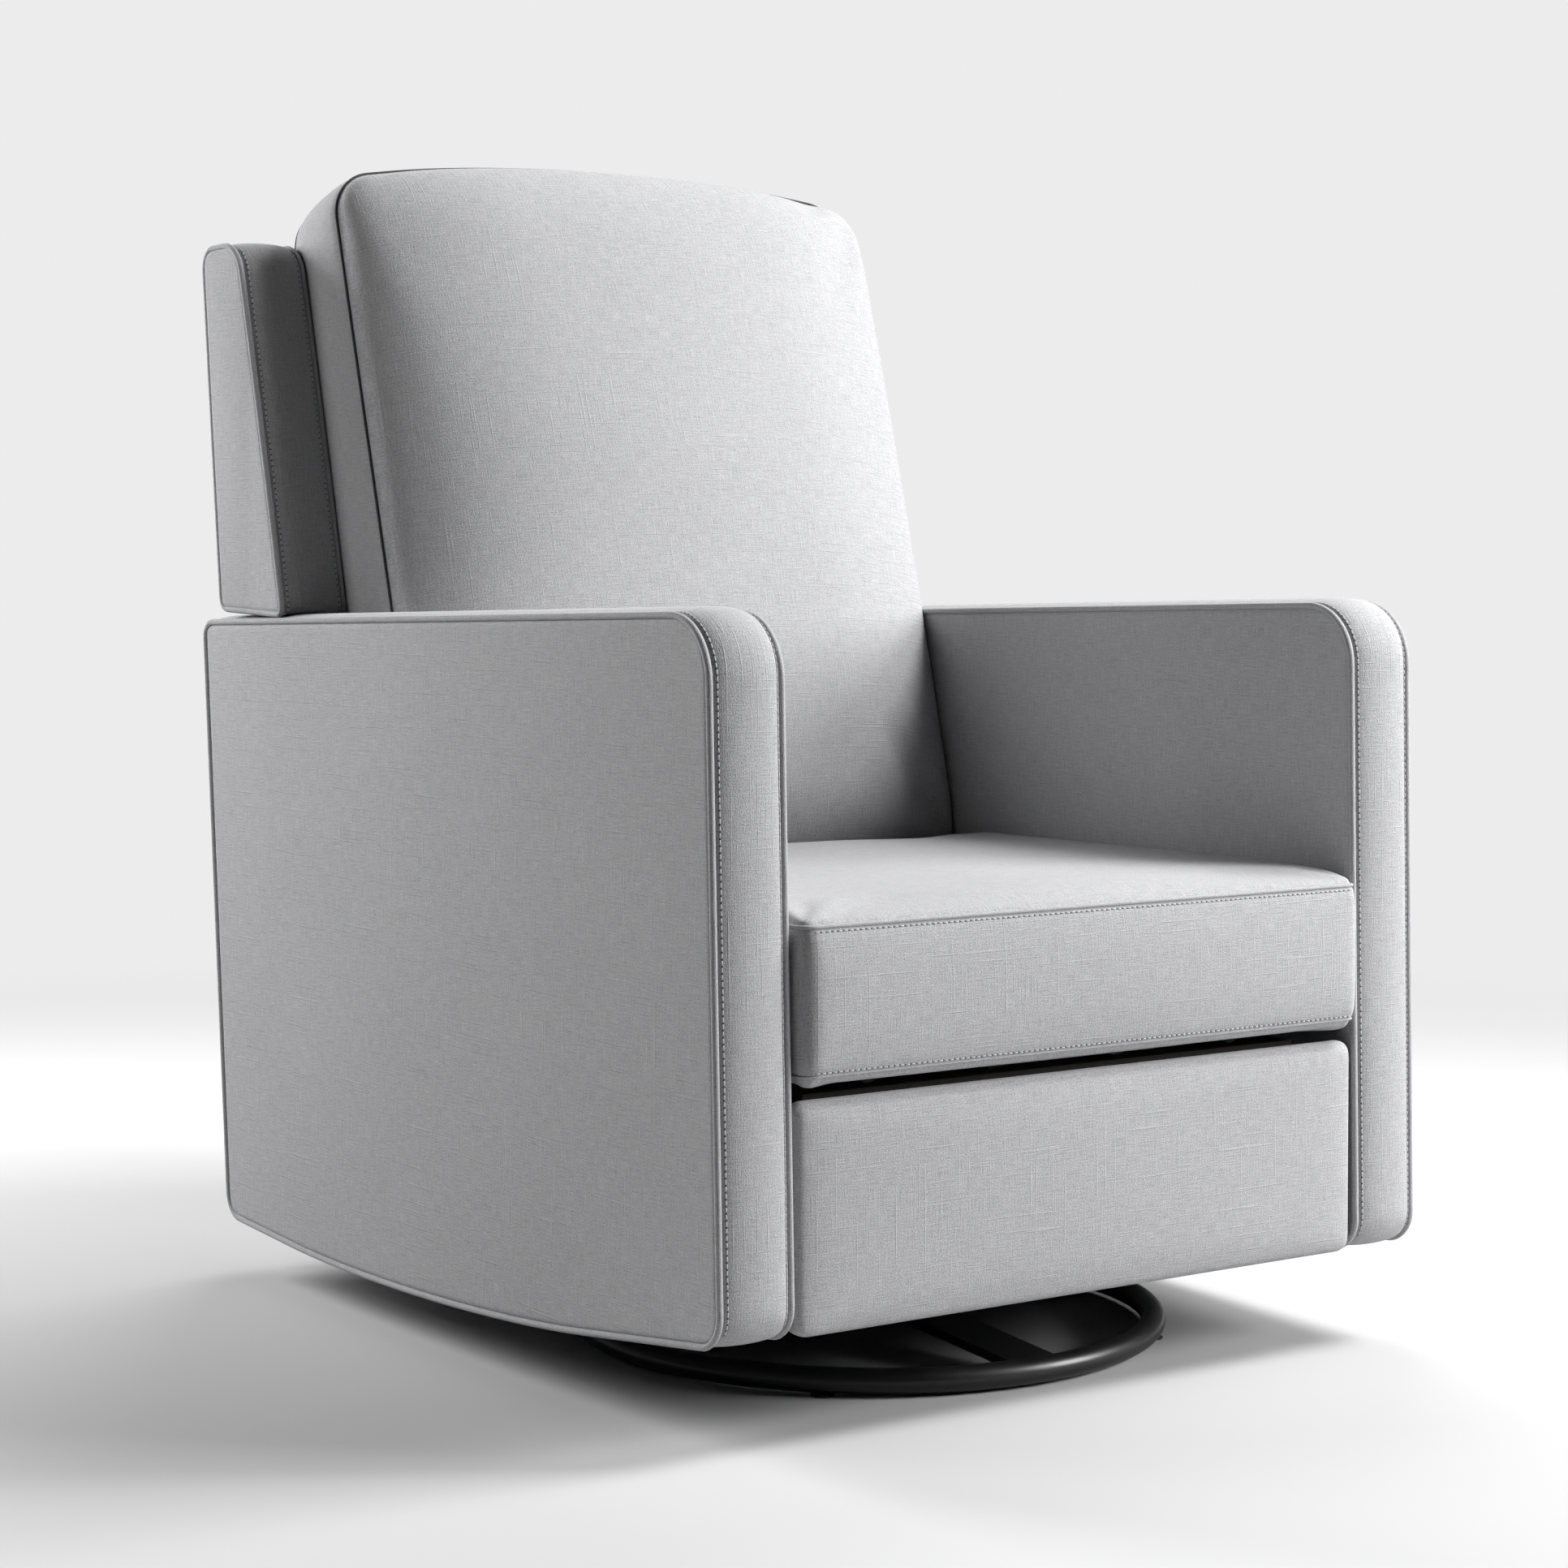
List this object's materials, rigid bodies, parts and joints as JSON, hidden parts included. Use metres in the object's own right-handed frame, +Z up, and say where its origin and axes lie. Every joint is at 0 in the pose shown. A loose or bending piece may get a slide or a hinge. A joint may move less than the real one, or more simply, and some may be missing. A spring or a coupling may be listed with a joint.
{
  "type": "swivel glider nursery recliner chair",
  "caption": "Upholstered wing-back nursery chair that swivels, glides and reclines on a black steel ring base, with a fold-out footrest.",
  "frame": {"origin": "centre of the object's box on the floor", "axes": "+Z up, the sitter faces -Y, +X to the sitter's left"},
  "size_m": [0.74, 0.8924, 1.0683],
  "materials": {
    "upholstery_fabric": "light grey linen-look weave",
    "black_steel": "satin black powder coat",
    "zinc_steel": "zinc plated",
    "frame_wood": "unfinished plywood and softwood",
    "pad_plastic": "matte"
  },
  "bodies": {
    "base": {"base_ring": "black_steel", "base_bar_long": "black_steel", "base_bar_cross": "black_steel", "base_hub": "black_steel", "swivel_bearing": "zinc_steel", "floor_pad_front_left": "pad_plastic", "floor_pad_front_right": "pad_plastic", "floor_pad_rear_left": "pad_plastic", "floor_pad_rear_right": "pad_plastic"},
    "turntable": {"swivel_plate": "black_steel", "glide_bracket_front_left": "black_steel", "glide_bracket_front_right": "black_steel", "glide_bracket_rear_left": "black_steel", "glide_bracket_rear_right": "black_steel"},
    "glide_links_rear": {"glide_link_rear_left": "zinc_steel", "glide_link_rear_right": "zinc_steel"},
    "glide_links_front": {"glide_link_front_left": "zinc_steel", "glide_link_front_right": "zinc_steel"},
    "chair_frame": {"platform_rail_left": "black_steel", "platform_rail_right": "black_steel", "cross_tube_front": "black_steel", "cross_tube_rear": "black_steel", "recline_side_plate_left": "black_steel", "recline_side_plate_right": "black_steel", "arm_board_left": "frame_wood", "arm_board_right": "frame_wood", "arm_cover_left": "upholstery_fabric", "arm_cover_right": "upholstery_fabric", "rear_lower_panel": "upholstery_fabric"},
    "seat_links_rear": {"seat_link_rear_left": "zinc_steel", "seat_link_rear_right": "zinc_steel"},
    "seat_links_front": {"seat_link_front_left": "zinc_steel", "seat_link_front_right": "zinc_steel"},
    "seat_carriage": {"seat_rail_left": "black_steel", "seat_rail_right": "black_steel", "seat_board_front": "frame_wood", "seat_board_rear": "frame_wood", "seat_spring_outer_left": "zinc_steel", "seat_spring_inner_left": "zinc_steel", "seat_spring_inner_right": "zinc_steel", "seat_spring_outer_right": "zinc_steel", "seat_cushion": "upholstery_fabric"},
    "backrest": {"back_stile_left": "frame_wood", "back_stile_right": "frame_wood", "back_rail_top": "frame_wood", "back_rail_bottom": "frame_wood", "outside_back_panel": "upholstery_fabric", "wing_left": "upholstery_fabric", "wing_right": "upholstery_fabric", "back_cushion": "upholstery_fabric"},
    "tongs_1": {"tong_link_1_left": "zinc_steel", "tong_link_1_right": "zinc_steel"},
    "tongs_2": {"tong_link_2_left": "zinc_steel", "tong_link_2_right": "zinc_steel"},
    "tongs_3": {"tong_link_3_left": "zinc_steel", "tong_link_3_right": "zinc_steel"},
    "tongs_4": {"tong_link_4_left": "zinc_steel", "tong_link_4_right": "zinc_steel"},
    "footrest": {"footrest_board": "frame_wood", "footrest_pad": "upholstery_fabric"}
  },
  "joints": [
    {"name": "swivel", "type": "hinge", "parent": "base", "child": "turntable", "pos_m": [0, -0.1334, 0.06], "axis": [0, 0, 1], "continuous": true},
    {"name": "glide", "type": "hinge", "parent": "turntable", "child": "glide_links_rear", "pos_m": [0, 0.0366, 0.232], "axis": [1, 0, 0], "range_deg": [-20, 20]},
    {"name": "glide_front", "type": "hinge", "parent": "turntable", "child": "glide_links_front", "pos_m": [0, -0.2334, 0.232], "axis": [1, 0, 0], "range_deg": [-20, 20]},
    {"name": "glide_level", "type": "hinge", "parent": "glide_links_rear", "child": "chair_frame", "pos_m": [0, 0.0366, 0.112], "axis": [1, 0, 0], "range_deg": [-20, 20]},
    {"name": "recline", "type": "hinge", "parent": "chair_frame", "child": "seat_links_rear", "pos_m": [0, 0.0181, 0.16304], "axis": [1, 0, 0], "range_deg": [0, 44]},
    {"name": "recline_front", "type": "hinge", "parent": "chair_frame", "child": "seat_links_front", "pos_m": [0, -0.3219, 0.16304], "axis": [1, 0, 0], "range_deg": [0, 44]},
    {"name": "seat_level", "type": "hinge", "parent": "seat_links_rear", "child": "seat_carriage", "pos_m": [0, 0.1166, 0.24], "axis": [1, 0, 0], "range_deg": [-44, 0]},
    {"name": "back_recline", "type": "hinge", "parent": "seat_carriage", "child": "backrest", "pos_m": [0, 0.3066, 0.3], "axis": [1, 0, 0], "range_deg": [-20, 0]},
    {"name": "footrest_link_1", "type": "hinge", "parent": "seat_carriage", "child": "tongs_1", "pos_m": [0, -0.33164, 0.24318], "axis": [1, 0, 0], "range_deg": [-65, 0]},
    {"name": "footrest_link_2", "type": "hinge", "parent": "tongs_1", "child": "tongs_2", "pos_m": [0, -0.34908, 0.16767], "axis": [1, 0, 0], "range_deg": [0, 130]},
    {"name": "footrest_link_3", "type": "hinge", "parent": "tongs_2", "child": "tongs_3", "pos_m": [0, -0.35852, 0.24459], "axis": [1, 0, 0], "range_deg": [-130, 0]},
    {"name": "footrest_link_4", "type": "hinge", "parent": "tongs_3", "child": "tongs_4", "pos_m": [0, -0.37595, 0.16908], "axis": [1, 0, 0], "range_deg": [0, 130]},
    {"name": "footrest_tip", "type": "hinge", "parent": "tongs_4", "child": "footrest", "pos_m": [0, -0.3854, 0.246], "axis": [1, 0, 0], "range_deg": [-157, 0]}
  ],
  "couplings": [
    {"joint": "glide_front", "follows": "glide", "ratio": 1},
    {"joint": "glide_level", "follows": "glide", "ratio": -1},
    {"joint": "recline_front", "follows": "recline", "ratio": 1},
    {"joint": "seat_level", "follows": "recline", "ratio": -1},
    {"joint": "back_recline", "follows": "recline", "ratio": -0.45455},
    {"joint": "footrest_link_1", "follows": "recline", "ratio": -1.4773},
    {"joint": "footrest_link_2", "follows": "recline", "ratio": 2.9545},
    {"joint": "footrest_link_3", "follows": "recline", "ratio": -2.9545},
    {"joint": "footrest_link_4", "follows": "recline", "ratio": 2.9545},
    {"joint": "footrest_tip", "follows": "recline", "ratio": -3.5682}
  ]
}
